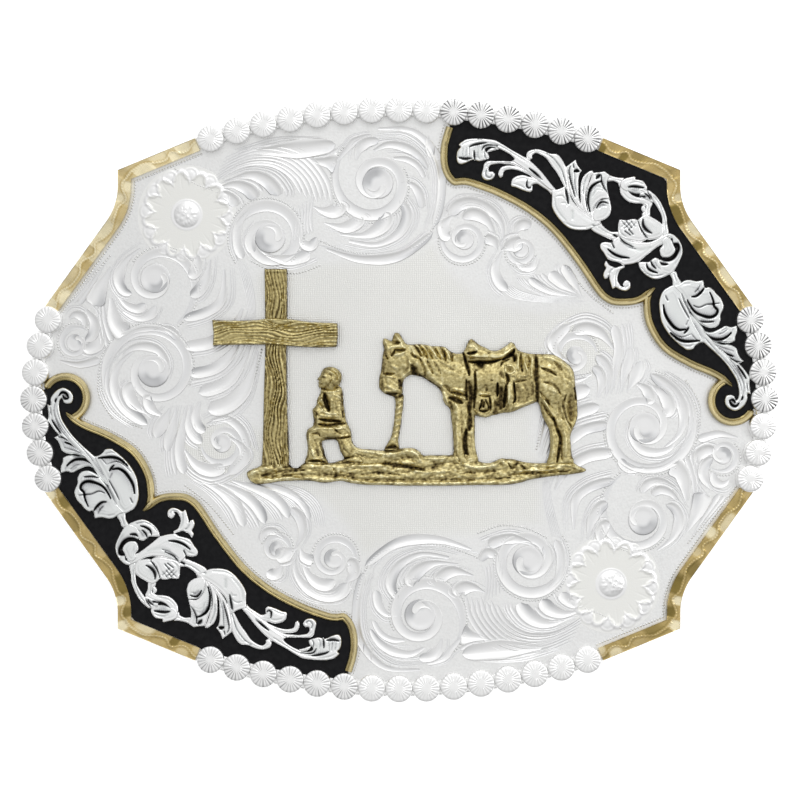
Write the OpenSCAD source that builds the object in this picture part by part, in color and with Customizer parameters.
// Western belt buckle: a curved silver plate with raised scrollwork, a berry edge, gold corners,
// two black inlays with silver flowers, one cast ornament, and a loop and a hook on the back.
// Millimetres. +X runs along the buckle, +Y up its face, +Z out of the face.
// The origin is on the surface that the buckle lies on, under its middle.

/* [Plate] */
// Width over the side berries
buckle_w = 107; // [106.6:0.1:107.4]
// Height over the top and bottom berries
buckle_h = 85.5; // [85.1:0.1:85.9]
// Thickness of the plate
plate_t = 1.8; // [1.4:0.1:2.4]
// Radius that the face is bent to, about an axis along Y
bend_r = 240; // [220:5:300]
// Height of the plate's back above the surface it lies on, at the middle
stand = 12.5; // [12.3:0.1:13.5]

/* [Berries] */
// Radius of one berry
berry_r = 1.88; // [1.84:0.01:1.9]
// Height of a berry above the plate
berry_h = 1.35; // [1.1:0.05:1.6]
// Berries in the top run and in the bottom run
top_berries = 15; // [13:2:15]
// Berries in each side run
side_berries = 7; // [5:2:7]
// Spacing of the berries along the top and bottom
top_pitch = 3.85; // [3.83:0.01:3.86]
// Spacing of the berries along the sides
side_pitch = 3.83; // [3.83:0.01:3.85]
// Radius of the curve through the top berries
top_r = 88.5; // [88:0.5:89]
// Radius of the curve through the side berries
side_r = 31.8; // [31.5:0.1:32]

/* [Gold edges] */
// Distance of a corner tip from the middle, along X
tip_x = 39.8; // [39.6:0.1:40]
// Distance of a corner tip from the middle, along Y
tip_y = 32.45; // [32.3:0.05:32.6]
// Width of a gold edge
gold_w = 1.9; // [1.7:0.1:2]
// Height of a gold edge above the plate
gold_h = 0.8; // [0.5:0.1:1]
// Radius of the hollow curve below each tip
hollow_r = 8.5; // [8.3:0.1:8.7]
// Angle through which that curve turns
hollow_angle = 36; // [35:1:37]

/* [Inlays] */
// Height of the black inlay above the plate
inlay_h = 0.35; // [0.2:0.05:0.4]
// Width of the gold border round an inlay
border_w = 1.05; // [0.9:0.05:1.1]
// Height of the gold border above the plate
border_h = 0.95; // [0.6:0.05:1.2]
// Radius of the ring that ends the border, at the middle of its band
ring_r = 3; // [2.9:0.1:3.1]
// Height of the silver flowers above the plate
spray_h = 0.95; // [0.7:0.05:1.1]
// Height of the petals that stand highest
petal_h = 1.15; // [1.1:0.05:1.3]

/* [Relief on the plate] */
// Height of the scrolls and the rosettes
relief_h = 0.22; // [0.1:0.02:0.24]
// Petals of a rosette
petals = 12; // [10:1:14]
// Radius of a rosette
rosette_r = 6.3; // [5.8:0.1:6.5]

/* [Cast ornament] */
// Height of the ground and of the flat parts
cast_h = 1.15; // [1:0.05:1.3]
// Height of the roundest parts
cast_top = 1.9; // [1.8:0.05:2.2]
// Width of the cross's upright
cross_w = 3; // [2.6:0.1:3.2]

/* [Back fittings] */
// Thickness of the loop's wire
wire_d = 3.2; // [2.8:0.1:3.4]
// Length of the loop across the strap, over the wire
loop_l = 46; // [44:0.5:48]
// Width of the loop, over the wire
loop_w = 17; // [16:0.5:18]
// Distance of the loop's middle from the buckle's middle
loop_x = 34.5; // [33:0.5:35]
// Radius of the hook's peg
hook_r = 1.7; // [1.5:0.1:1.9]
// Distance of the hook's foot from the buckle's middle
hook_x = 34; // [32:0.5:36]
// Lean of the peg towards the buckle's end
hook_lean = 22; // [10:1:30]

/* [Hidden] */
$fn = 96;
bend_fn = 256;
gap = 0.05;
far = 60;
plate_front_z = stand + plate_t;
axis_z = plate_front_z - bend_r;
side_c = [buckle_w / 2 - berry_r - side_r, 0];
top_c = [0, buckle_h / 2 - berry_r - top_r];
side_step = 2 * asin(side_pitch / 2 / side_r);
top_step = 2 * asin(top_pitch / 2 / top_r);
side_end = side_step * (side_berries - 1) / 2;
top_end = top_step * (top_berries - 1) / 2;
under_berries = 0.9;
plate_inset = 0.12;
tip_slope = 0.408;
tip_drop = 2.25;
gold_side_l = 14.9;
gold_top_l = 11.8;
cast_gap = relief_h + gap;

// Points of an arc about c, from the angle a to the angle b, in n steps
function arc(c, r, a, b, n) = [for (i = [0:n]) c + r * [cos(a + (b - a) * i / n), sin(a + (b - a) * i / n)]];
function reversed(pts) = [for (i = [len(pts) - 1:-1:0]) pts[i]];
function flipped(pts) = [for (p = pts) [-p[0], p[1]]];
function turned(pts) = [for (p = pts) -p];
function unit(v) = v / norm(v);

// A smooth curve through hand-set points, with n steps between each pair
function between(a, b, c, d, t) =
    (2 * b + (c - a) * t + (2 * a - 5 * b + 4 * c - d) * t * t + (3 * b - a - 3 * c + d) * t * t * t) / 2;
function curve(pts, n) = concat(
    [for (i = [0:len(pts) - 2], k = [0:n - 1])
        between(pts[max(i - 1, 0)], pts[i], pts[i + 1], pts[min(i + 2, len(pts) - 1)], k / n)],
    [pts[len(pts) - 1]]);
function closed_curve(pts, n) = [for (i = [0:len(pts) - 1], k = [0:n - 1])
    between(pts[(i + len(pts) - 1) % len(pts)], pts[i], pts[(i + 1) % len(pts)], pts[(i + 2) % len(pts)], k / n)];

// Outline of a band along a line, with a half width for each of its points
function side_of(line, i) = let (v = unit(line[min(i + 1, len(line) - 1)] - line[max(i - 1, 0)])) [-v[1], v[0]];
function band(line, half) = concat(
    [for (i = [0:len(line) - 1]) line[i] + half[i] * side_of(line, i)],
    reversed([for (i = [0:len(line) - 1]) line[i] - half[i] * side_of(line, i)]));
function even_band(line, half) = band(line, [for (p = line) half]);
function longer(line, more) = more == 0 ? line : let (n = len(line) - 1) concat(
    [line[0] + more * unit(line[0] - line[1])], line, [line[n] + more * unit(line[n] - line[n - 1])]);
function leaf_half(u, w) = 0.08 + (w - 0.08) * pow(sin(180 * pow(u, 0.8)), 0.8);
function leaf(pts, w, n) = let (line = curve(pts, n))
    band(line, [for (i = [0:len(line) - 1]) leaf_half(i / (len(line) - 1), w)]);

// A flat spiral: outer radius r, from the angle a inwards through the given turn
function spiral(c, r, a, turn, n) = let (
    line = [for (i = [0:n]) c + r * (1 - 0.68 * i / n) * [cos(a + turn * i / n), sin(a + turn * i / n)]])
    band(line, [for (i = [0:n]) 0.08 + r * 0.15 * pow(sin(30 + 120 * i / n), 2)]);

// What lies between two heights above the bent face of the plate
module bent_layer(low, high) {
    intersection() {
        linear_extrude(height = plate_front_z + 5) children();
        translate([0, 0, axis_z]) rotate([90, 0, 0]) difference() {
            cylinder(r = bend_r + high, h = 2 * far, center = true, $fn = bend_fn);
            cylinder(r = bend_r + low, h = 3 * far, center = true, $fn = bend_fn);
        }
    }
}
// Stands its children on the bent face at a place, square to the face
module on_face(p) {
    translate([0, p[1], axis_z]) rotate([0, asin(p[0] / bend_r), 0]) translate([0, 0, bend_r]) children();
}
module half_turn(times) {
    rotate([0, 0, 180 * times]) children();
}

// Outline of the gold edge at the upper right corner, d inside its outer line
hollow_c = [tip_x + hollow_r, tip_y - tip_drop];
hollow_end = 180 + hollow_angle;
side_dir = [sin(hollow_angle), -cos(hollow_angle)];
top_dir = unit([-1, tip_slope]);
function gold_line(d) = let (low = hollow_c + (hollow_r + d) * [cos(hollow_end), sin(hollow_end)]) concat(
    [low + gold_side_l * side_dir],
    arc(hollow_c, hollow_r + d, hollow_end, 180, 6),
    [[tip_x - d, tip_y - d * (norm([1, tip_slope]) - tip_slope)]],
    [[tip_x, tip_y] + gold_top_l * top_dir + d * [-top_dir[1], top_dir[0]]]);

// Outline of the plate, which ends under the berries and just inside the gold edges
function plate_outline() = let (g = gold_line(plate_inset), a = side_end + 2, b = top_end + 1) concat(
    arc(side_c, side_r + under_berries, -a, a, 12), g,
    arc(top_c, top_r + under_berries, 90 - b, 90 + b, 24), reversed(flipped(g)),
    arc(-side_c, side_r + under_berries, 180 - a, 180 + a, 12), turned(g),
    arc(-top_c, top_r + under_berries, 270 - b, 270 + b, 24), reversed(flipped(turned(g))));

// Places of the berries in the right run and in the top run
function right_run() = [for (i = [0:side_berries - 1]) side_c + side_r * [cos(-side_end + i * side_step),
    sin(-side_end + i * side_step)]];
function top_run() = [for (i = [0:top_berries - 1]) top_c + top_r * [cos(90 - top_end + i * top_step),
    sin(90 - top_end + i * top_step)]];

// Scrolls of the upper left half: place, radius, start angle, turn
scrolls = [
    [[-18.2, 22.8], 3.2, -60, -470],
    [[-3, 30.7], 3.1, 250, 470],
    [[-34.5, 17.1], 2.8, 100, 430],
    [[-34.5, 3.9], 3.3, 90, -480],
    [[-45.8, 8], 1.9, 20, 450],
    [[-25.3, -6], 2.4, 110, 430],
    [[8.9, 22.8], 2.2, 90, 430],
    [[16.3, 20.1], 2.1, 100, -430]];
// Leaves of the upper left half: start, middle, end, half width
leaves = [
    [[-27, 29.6], [-23.2, 31], [-19.4, 29.3], 0.5],
    [[-25.6, 31.6], [-19.9, 32.7], [-15.7, 28.7], 0.6],
    [[-21.3, 25.6], [-22.5, 22.8], [-21.1, 20], 0.4],
    [[-19.4, 20], [-15.1, 19.1], [-11.2, 22.5], 0.6],
    [[-8.1, 33.1], [-6.6, 35.9], [-3.8, 36.7], 0.4],
    [[-4.8, 35], [-2, 35.9], [2.3, 33.1], 0.5],
    [[0.4, 30.7], [2.7, 29.3], [1.8, 25.1], 0.5],
    [[-2, 26.1], [-1.6, 24.2], [-4.7, 22.2], 0.5],
    [[-10.5, 24.2], [-7.6, 23.6], [-5.2, 26.5], 0.5],
    [[-36.6, 22.1], [-39.2, 19.4], [-38, 15.2], 0.6],
    [[-38.7, 16.4], [-37.6, 13.3], [-33.8, 12.3], 0.5],
    [[-27.4, 20], [-26.4, 16.2], [-29.5, 14], 0.6],
    [[-25, 18.3], [-24.2, 13.3], [-29.5, 9.8], 0.7],
    [[-30.7, 6.7], [-27, 7], [-22.8, 9.8], 0.7],
    [[-29.5, 3], [-24.6, 3.9], [-20.8, 9.8], 0.7],
    [[-38, 2], [-38.3, 7], [-33.8, 7.7], 0.5],
    [[-38.3, 0.2], [-36.6, -2.6], [-33.1, -3.2], 0.5],
    [[-46.2, 12.3], [-43, 11.2], [-42.5, 7.7], 0.5],
    [[-28.1, -1.5], [-28.4, -5.8], [-26, -8.9], 0.5],
    [[-27.7, -9.7], [-24.6, -10.6], [-21.5, -8], 0.5],
    [[-31.8, -0.8], [-31.5, -5.8], [-30.4, -10.3], 0.5],
    [[-28.1, -12.1], [-24.6, -14.2], [-22.2, -17.8], 0.5],
    [[-26.9, -11.4], [-21.8, -13.3], [-18.5, -17.1], 0.6],
    [[-26, -10.6], [-17.5, -12.1], [-12.9, -17.1], 0.6],
    [[6.4, 24.6], [6.6, 21.4], [8.9, 19.4], 0.4],
    [[7.2, 25.6], [10, 27], [13.1, 25.6], 0.5],
    [[14, 19.4], [15, 16.6], [17.8, 16.2], 0.4]];
// Long sweeps round the two upper scrolls and beside the left one: points, half width
sweeps = [
    [[[-27.6, 30.4], [-20.4, 34.1], [-13.3, 30.3], [-12.2, 23.6]], 0.4],
    [[[-8.3, 31.7], [-6.9, 36.7], [-0.6, 37.5], [4.6, 32.4], [5.5, 26.8]], 0.35],
    [[[-9.8, 21.8], [-3.4, 20.3], [2.3, 22.5], [5.1, 26.5]], 0.35],
    [[[-39.7, -2.9], [-41.6, 4.1], [-37.3, 9.1], [-31, 9.1]], 0.4]];
rosette_c = [-30, 26.1];
petal_root = 2.3;
button_r = 2;
button_h = 0.75;

module scrollwork() {
    for (s = scrolls) polygon(spiral(s[0], s[1], s[2], s[3], 20));
    for (s = scrolls) translate(s[0]) circle(r = s[1] * 0.3);
    for (s = leaves) polygon(leaf([s[0], s[1], s[2]], s[3], 3));
    for (s = sweeps) polygon(leaf(s[0], s[1], 4));
}
module rosette() {
    petal = [[petal_root, -0.5], [rosette_r * 0.7, -1.2], [rosette_r * 0.95, -0.7], [rosette_r, 0],
             [rosette_r * 0.95, 0.7], [rosette_r * 0.7, 1.2], [petal_root, 0.5]];
    translate(rosette_c) for (i = [0:petals - 1]) rotate(i * 360 / petals) polygon(petal);
}
module rosette_button() {
    ball_r = (button_r * button_r + button_h * button_h) / 2 / button_h;
    on_face(rosette_c) intersection() {
        translate([0, 0, -0.5]) cylinder(r = button_r, h = 3);
        translate([0, 0, button_h - ball_r]) sphere(r = ball_r);
    }
}
module plate() {
    color("gainsboro") union() {
        bent_layer(-plate_t, 0) polygon(plate_outline());
        for (t = [0, 1]) half_turn(t) {
            bent_layer(-0.3, relief_h) scrollwork();
            bent_layer(-0.3, relief_h) rosette();
            rosette_button();
        }
    }
}

// One berry is a low drum with a domed top; the strip under the run joins its berries
module berry(extra) {
    drum = berry_h * 0.35;
    cap_r = (berry_r * berry_r + (berry_h - drum) * (berry_h - drum)) / 2 / (berry_h - drum);
    if (extra > 0) {
        translate([0, 0, -2]) cylinder(r = berry_r + extra, h = 6);
    } else {
        intersection() {
            translate([0, 0, strip_h / 2]) cylinder(r = berry_r, h = berry_h);
            translate([0, 0, berry_h - cap_r]) sphere(r = cap_r);
        }
    }
}
strip_half = 1;
strip_h = 0.5;
module berry_run(places, strip) {
    color("whitesmoke") union() {
        bent_layer(gap, strip_h) polygon(strip);
        for (p = places) on_face(p) berry(0);
    }
}
module berry_edge_top() {
    berry_run(top_run(), even_band(arc(top_c, top_r, 90 - top_end, 90 + top_end, 20), strip_half));
}
module berry_edge_right() {
    berry_run(right_run(), even_band(arc(side_c, side_r, -side_end, side_end, 10), strip_half));
}
module berry_edge_bottom() {
    half_turn(1) berry_edge_top();
}
module berry_edge_left() {
    half_turn(1) berry_edge_right();
}
// Room that is kept for the berries and strips next to the upper right corner
module berry_room(first_side, last_top) {
    for (i = [first_side:side_berries - 1]) on_face(right_run()[i]) berry(gap);
    for (i = [0:last_top]) on_face(top_run()[i]) berry(gap);
    bent_layer(-1, 3) {
        polygon(even_band(arc(side_c, side_r, -side_end, side_end, 10), strip_half + gap));
        polygon(even_band(arc(top_c, top_r, 90 - top_end, 90 + top_end, 20), strip_half + gap));
    }
}

// The edge of one corner, drawn at the upper right, or flipped for the upper left
module gold_corner(side) {
    strip = concat(gold_line(0), reversed(gold_line(gold_w)));
    color("goldenrod") difference() {
        bent_layer(gap, gold_h) polygon(side > 0 ? strip : flipped(strip));
        mirror([side > 0 ? 0 : 1, 0, 0]) berry_room(side_berries - 1, 0);
    }
}
module gold_edge_top_right() {
    gold_corner(1);
}
module gold_edge_top_left() {
    gold_corner(-1);
}
module gold_edge_bottom_left() {
    half_turn(1) gold_corner(1);
}
module gold_edge_bottom_right() {
    half_turn(1) gold_corner(-1);
}

// Middle line of the gold border: from the top berries to the first cusp, on to the second, and its ring
border_first = [[7.2, 38.4], [6.6, 36.2], [6.5, 34.5], [7.1, 32.7], [8.5, 31.2], [11.4, 30.2], [14.3, 29.1],
                [18.5, 26.8], [22.1, 23.8], [25.6, 19.4], [28, 15.8], [29.3, 14.4], [30.9, 13.8], [33.9, 14.1],
                [36.3, 15.9]];
border_second = [[36.3, 15.9], [35.3, 14.7], [35.1, 13.2], [35.6, 10.5], [37.6, 7.4], [41.1, 5.2], [44.8, 3.6],
                 [47.4, 1.8]];
ring_c = [47.3, -0.2];
ring_start = 114;
ring_end = 337;
ring_w = 1.2;
ring_steps = 24;
curve_steps = 4;
// Angle of the first top berry beside the black, from straight up
black_start = 4.6;
function ring_line() = arc(ring_c, ring_r, ring_start, ring_end, ring_steps);
module border_shape(extra) {
    polygon(even_band(longer(curve(border_first, curve_steps), extra), border_w / 2 + extra));
    polygon(even_band(longer(curve(border_second, curve_steps), extra), border_w / 2 + extra));
    polygon(even_band(longer(ring_line(), extra), ring_w / 2 + extra));
}
module panel_border_upper() {
    color("goldenrod") difference() {
        bent_layer(gap, border_h) border_shape(0);
        berry_room(0, 6);
    }
}
module panel_border_lower() {
    half_turn(1) panel_border_upper();
}
module black_panel_upper() {
    ring_tip = ring_line()[ring_steps] - side_c;
    second = curve(border_second, curve_steps);
    outer = concat(arc(side_c, side_r, atan2(ring_tip[1], ring_tip[0]), side_end, 8), gold_line(gold_w + gap),
        arc(top_c, top_r, 90 - top_end, 90 - black_start, 12));
    color("black") difference() {
        bent_layer(gap, inlay_h)
            polygon(concat(curve(border_first, curve_steps), [for (i = [curve_steps:len(second) - 1]) second[i]],
                ring_line(), outer));
        bent_layer(-1, 3) border_shape(gap);
        berry_room(0, 6);
    }
}
module black_panel_lower() {
    half_turn(1) black_panel_upper();
}

// Flowers and stems of the upper spray
flower_first = [[21.5, 28.9], [21.6, 26.8], [22.8, 25.1], [24.2, 24.2], [25.9, 23.9], [27.3, 24.2], [28.4, 25.1],
                [29.5, 25.8], [29.8, 27.2], [29.4, 29.6], [29.5, 31.3], [28.8, 32.1], [27.7, 32.4], [26.3, 32.1],
                [25.3, 33.3], [23.8, 32.6], [22.6, 30.6]];
flower_first_inner = [[25.4, 32], [27.9, 32.3], [29, 30.8], [29, 27.8], [28, 24.9], [25.8, 24.5], [24.6, 28]];
flower_second = [[30.8, 25], [33.5, 25.5], [34.8, 26.3], [36.2, 25.3], [38, 23.6], [40, 21.8], [40, 20],
                 [38.9, 18], [36.9, 17.4], [34.8, 17.8], [33.5, 19.3], [31.5, 19.4], [29.5, 19.8], [28.9, 21.6],
                 [30.6, 22.8]];
flower_second_inner = [[34.4, 24.6], [36.6, 24], [38.6, 22], [38.4, 19.6], [36.4, 19.2], [35, 21.2]];
flower_third = [[39.2, 16.3], [36.9, 14.9], [36.5, 13.3], [36.9, 11.5], [38.6, 8.4], [40.9, 7.1], [43, 8.5],
                [44.2, 10.4], [45.3, 11.5], [45.7, 12.6], [45, 14.5], [43.3, 15.7], [41.1, 16.8]];
flower_third_inner = [[40.4, 16], [42.6, 14.6], [43.6, 12.2], [42.2, 9.4], [40.4, 8.6], [39.4, 11.6]];
bud = [[31.2, 31], [32.7, 31.5], [34.1, 31.1], [35.2, 29.6], [35.5, 27.6], [34.1, 27.4], [32.4, 28.1], [31.4, 29.4]];
// Stems and leaves of the upper spray: points, half width
stems = [
    [[[8.2, 35.2], [8.9, 36.3], [11.4, 36.7], [15, 36], [18.3, 33.9]], 0.75],
    [[[11.4, 36.4], [12, 34.7], [13.3, 34]], 0.4],
    [[[18.2, 33.9], [15, 33.2], [12.6, 33.4], [11.6, 32.4], [12.6, 31.5]], 0.35],
    [[[15.3, 30.8], [17.4, 31.6], [19.3, 30.6], [18.4, 29.4]], 0.5],
    [[[18.6, 31.2], [19.6, 32.2], [20.6, 31.4]], 0.35],
    [[[17.4, 34.4], [20.2, 31.8], [22.6, 29]], 0.45],
    [[[17.8, 34.4], [19.9, 35.2], [22.5, 34.2], [24.4, 31]], 0.7],
    [[[28.6, 31.5], [30.5, 31.4], [32.4, 30.6]], 0.4],
    [[[35, 29.2], [36.9, 27.2], [38, 23.2]], 0.4],
    [[[26.6, 24.4], [29, 23.4], [31.6, 22.6]], 0.4],
    [[[32, 19.5], [30, 18.9], [29.3, 17.4]], 0.35],
    [[[30.9, 19.2], [30.3, 17.1], [31.8, 15.7]], 0.35],
    [[[38.4, 18.6], [39.2, 16.9], [40, 15]], 0.5],
    [[[43.4, 8.2], [44.8, 9.6], [47.6, 9.4]], 0.7],
    [[[43, 7.6], [46.6, 7], [48.6, 5.2]], 0.55],
    [[[41.6, 8.8], [44.2, 6.8], [46.8, 4.6], [48.4, 2.4], [48.8, 0.5], [48.1, -1], [46.8, -1.2],
      [46.2, -0.2], [46.9, 0.5]], 0.55]];
inner_petals = [flower_first_inner, flower_second_inner, flower_third_inner];
module flower_spray_upper() {
    color("silver") union() {
        bent_layer(inlay_h + gap, spray_h) {
            polygon(closed_curve(flower_first, 3));
            polygon(closed_curve(flower_second, 3));
            polygon(closed_curve(flower_third, 3));
            polygon(closed_curve(bud, 3));
            for (s = stems) polygon(leaf(s[0], s[1], 4));
        }
        bent_layer(spray_h - 0.2, petal_h) for (p = inner_petals) polygon(closed_curve(p, 3));
    }
}
module flower_spray_lower() {
    half_turn(1) flower_spray_upper();
}

// Outlines of the cast ornament; its fine edges and rounded backs are steps of this height
edge_step = 0.2;
cross_x = -17.5;
cross_top = 18.4;
cross_foot = -10;
bar = [[-26.3, 11.2], [-19.4, 11.1], [-15.4, 11.1], [-8.9, 10.6], [-8.8, 7.5], [-15.4, 7.4], [-19.4, 7.7],
       [-26.1, 7.8]];
ground = [[-21.5, -10.6], [-20.4, -9.4], [-18.5, -9.1], [-15.4, -9.4], [-13.3, -8.5], [-9.8, -8.9], [-6.9, -7.4],
          [-4, -7.2], [-1, -6.7], [1.8, -7.2], [3.5, -8.2], [6.9, -8], [7.9, -7.5], [10.7, -8.3], [11.2, -9],
          [15, -8.4], [19.9, -9.1], [24.5, -8.9], [26.1, -9.4], [26.4, -10], [22.8, -10.7], [17.1, -10.8],
          [11.4, -11.7], [3, -12.3], [-8.3, -12], [-14, -11.5], [-18.2, -12], [-20.8, -11.4]];
horse = [[-2.3, 8.7], [-1.3, 8.4], [-0.3, 9.5], [0.8, 8.1], [3, 7.8], [5.8, 7.4], [7.5, 6.5], [9.5, 6.9],
         [9.8, 8.2], [10.7, 8], [12.2, 7.1], [14.3, 7], [16, 8.1], [16.7, 7.3], [18.5, 6.5], [21.1, 6.4],
         [23, 5.6], [24.6, 4], [25.2, 2], [25.2, -2.2], [24.5, -4.1], [24, -5.8], [24.5, -8.6], [24.6, -9.4],
         [21.1, -9.4], [21.3, -4.3], [20.4, -2.2], [19.4, -0.8], [17.1, -1.2], [14.3, -1.9], [12.3, -2.5],
         [10.6, -1.9], [10.6, -4.3], [11, -9], [7.6, -9], [7.6, -4.3], [7.2, -1.1], [6.2, 0.2], [5.8, 1.3],
         [4.4, 2.3], [3.3, 3.4], [1.8, 3.7], [0.7, 3.3], [0.6, 2], [0.3, 0.6], [-1, 0.5], [-2.1, 1],
         [-2.7, 1.9], [-2.8, 3.4], [-2.1, 5.6], [-1.8, 6.7]];
rein = [[-0.2, 1.2], [0.2, -1.5], [-0.3, -4.4], [-1.2, -7.2]];
torso = [[-10.8, 1.8], [-8.6, 1.8], [-7.8, -0.4], [-7.3, -3.2], [-7.1, -4.6], [-11.2, -4.6], [-12, -3.4],
         [-12.1, -1.8], [-11.3, -0.4]];
front_leg = [[-13, -4.2], [-11.8, -3.7], [-7, -3.9], [-6.8, -5.4], [-11, -5.7], [-10.8, -9.2], [-13.2, -9.2]];
back_leg = [[-8.7, -5], [-6.9, -4.2], [-6.2, -6.6], [-3, -7.4], [-3, -9.2], [-8.1, -9.2]];
head_c = [-9.9, 3.2];
head_r = 1.35;
neck_w = 1.8;
neck_l = 2.2;

// Keeps the part of a solid that is inside a flat outline, above the plate's relief
module cast_trim(outline) {
    intersection() {
        bent_layer(cast_gap, 4) polygon(outline);
        children();
    }
}
// The rounded back of a form lying on the face: place, length, width, turn, height of its crest
module round_form(p, l, w, turn, crest) {
    base = 0.7;
    rise = crest - base;
    r = (w * w / 4 + rise * rise) / 2 / rise;
    on_face(p) rotate([0, 0, turn]) intersection() {
        translate([0, 0, crest - r]) rotate([0, 90, 0]) cylinder(r = r, h = l, center = true);
        translate([-l, -w, base]) cube([2 * l, 2 * w, rise + 1]);
    }
}
module cross() {
    crown_in = 2 * edge_step;
    bent_layer(cast_gap, cast_h + edge_step / 2) translate([cross_x - cross_w / 2, cross_foot])
        square([cross_w, cross_top - cross_foot]);
    bent_layer(cast_h - edge_step, cast_h + 1.5 * edge_step)
        translate([cross_x - cross_w / 2 + crown_in, cross_foot])
            square([cross_w - 2 * crown_in, cross_top - cross_foot - crown_in]);
    bent_layer(cast_gap, cast_top) polygon(bar);
}
module rider() {
    for (shape = [torso, front_leg, back_leg]) bent_layer(cast_gap, cast_h) polygon(shape);
    cast_trim(torso) round_form([-9.6, -1.4], 7, 4.6, 95, cast_top);
    cast_trim(front_leg) round_form([-9.6, -4.8], 7, 2, 0, cast_top - edge_step);
    cast_trim(front_leg) round_form([-12, -7.2], 4.6, 2.2, 90, cast_top - edge_step);
    on_face(head_c) intersection() {
        translate([0, 0, cast_gap + gap]) cylinder(r = head_r, h = 3);
        translate([0, 0, cast_top - head_r - edge_step / 2]) sphere(r = head_r * 1.1);
    }
    bent_layer(cast_gap, cast_h) translate(head_c - [neck_w / 2, neck_l]) square([neck_w, neck_l]);
}
module saddled_horse() {
    bent_layer(cast_gap, cast_h) polygon(horse);
    bent_layer(cast_gap, cast_h - edge_step / 2) polygon(even_band(rein, 0.45));
    cast_trim(horse) {
        union() {
            round_form([14.5, 2.6], 17, 9.4, -4, cast_top);
            round_form([4.6, 5], 9, 5.4, -14, cast_top - edge_step / 2);
            round_form([-0.9, 4.2], 7, 4.4, 80, cast_top - edge_step / 2);
            round_form([22.8, 1.4], 9, 5.4, 95, cast_top - edge_step / 2);
            round_form([9.2, -4.6], 9, 2.4, 88, cast_top - 1.5 * edge_step);
            round_form([22.9, -5], 8, 2.8, 92, cast_top - 1.5 * edge_step);
        }
    }
    saddle = [[9.4, 6.8], [9.8, 8.2], [10.7, 8], [12.2, 7.1], [14.3, 7], [16, 8.1], [16.7, 7.2], [14.8, 5.6],
              [15, -0.6], [12.6, -2], [10.9, -1.6], [11.2, 4.6], [9.6, 5.2]];
    bent_layer(cast_gap, cast_top + edge_step / 4) polygon(saddle);
}
module figure_casting() {
    color("darkgoldenrod") union() {
        bent_layer(cast_gap, cast_h) polygon(ground);
        cross();
        rider();
        saddled_horse();
    }
}

// What lies behind the plate's back, with a gap
module behind_plate() {
    intersection() {
        children();
        translate([0, 0, axis_z]) rotate([90, 0, 0])
            cylinder(r = bend_r - plate_t - gap, h = 3 * far, center = true, $fn = bend_fn);
    }
}
wire_r = wire_d / 2;
corner_r = 4.5;
foot_y = 14;
foot_r = 2.4;
foot_t = 0.8;
hook_foot_r = 4;
hook_foot_t = 1;
// Length and radius of the shoulder round the peg's root, which the strap stops at
shoulder_l = 2.8;
shoulder_r = 2.5;
module wire_bar(l) {
    cylinder(r = wire_r, h = l, center = true);
}
module loop_ring() {
    half_l = loop_l / 2 - wire_r;
    half_w = loop_w / 2 - wire_r;
    for (side = [-1, 1]) {
        translate([side * half_w, 0, 0]) rotate([90, 0, 0]) wire_bar(2 * (half_l - corner_r));
        translate([0, side * half_l, 0]) rotate([0, 90, 0]) wire_bar(2 * (half_w - corner_r));
    }
    for (q = [0:3]) {
        sx = q == 0 || q == 3 ? 1 : -1;
        sy = q < 2 ? 1 : -1;
        translate([sx * (half_w - corner_r), sy * (half_l - corner_r), 0]) rotate([0, 0, 90 * q])
            rotate_extrude(angle = 90) translate([corner_r, 0]) circle(r = wire_r);
    }
}
module belt_loop() {
    foot_x = -loop_x + loop_w / 2 - wire_r;
    color("silver") union() {
        translate([-loop_x, 0, wire_r]) loop_ring();
        for (side = [-1, 1]) {
            behind_plate() translate([foot_x, side * foot_y, wire_r]) cylinder(r = wire_r * 0.85, h = stand + 5);
            bent_layer(-plate_t - gap - foot_t, -plate_t - gap) translate([foot_x, side * foot_y])
                circle(r = foot_r);
        }
    }
}
module belt_hook() {
    back_z = axis_z + sqrt(pow(bend_r - plate_t, 2) - pow(hook_x, 2));
    peg_l = (back_z - hook_r) / cos(hook_lean);
    color("silver") union() {
        behind_plate() translate([hook_x, 0, back_z]) rotate([0, 180 - hook_lean, 0]) {
            cylinder(r = hook_r, h = peg_l);
            translate([0, 0, -shoulder_l]) cylinder(r = shoulder_r, h = 2 * shoulder_l);
            translate([0, 0, peg_l]) sphere(r = hook_r);
        }
        bent_layer(-plate_t - gap - hook_foot_t, -plate_t - gap) translate([hook_x, 0]) circle(r = hook_foot_r);
    }
}

plate();
berry_edge_top();
berry_edge_bottom();
berry_edge_left();
berry_edge_right();
gold_edge_top_left();
gold_edge_top_right();
gold_edge_bottom_left();
gold_edge_bottom_right();
black_panel_upper();
black_panel_lower();
panel_border_upper();
panel_border_lower();
flower_spray_upper();
flower_spray_lower();
figure_casting();
belt_loop();
belt_hook();
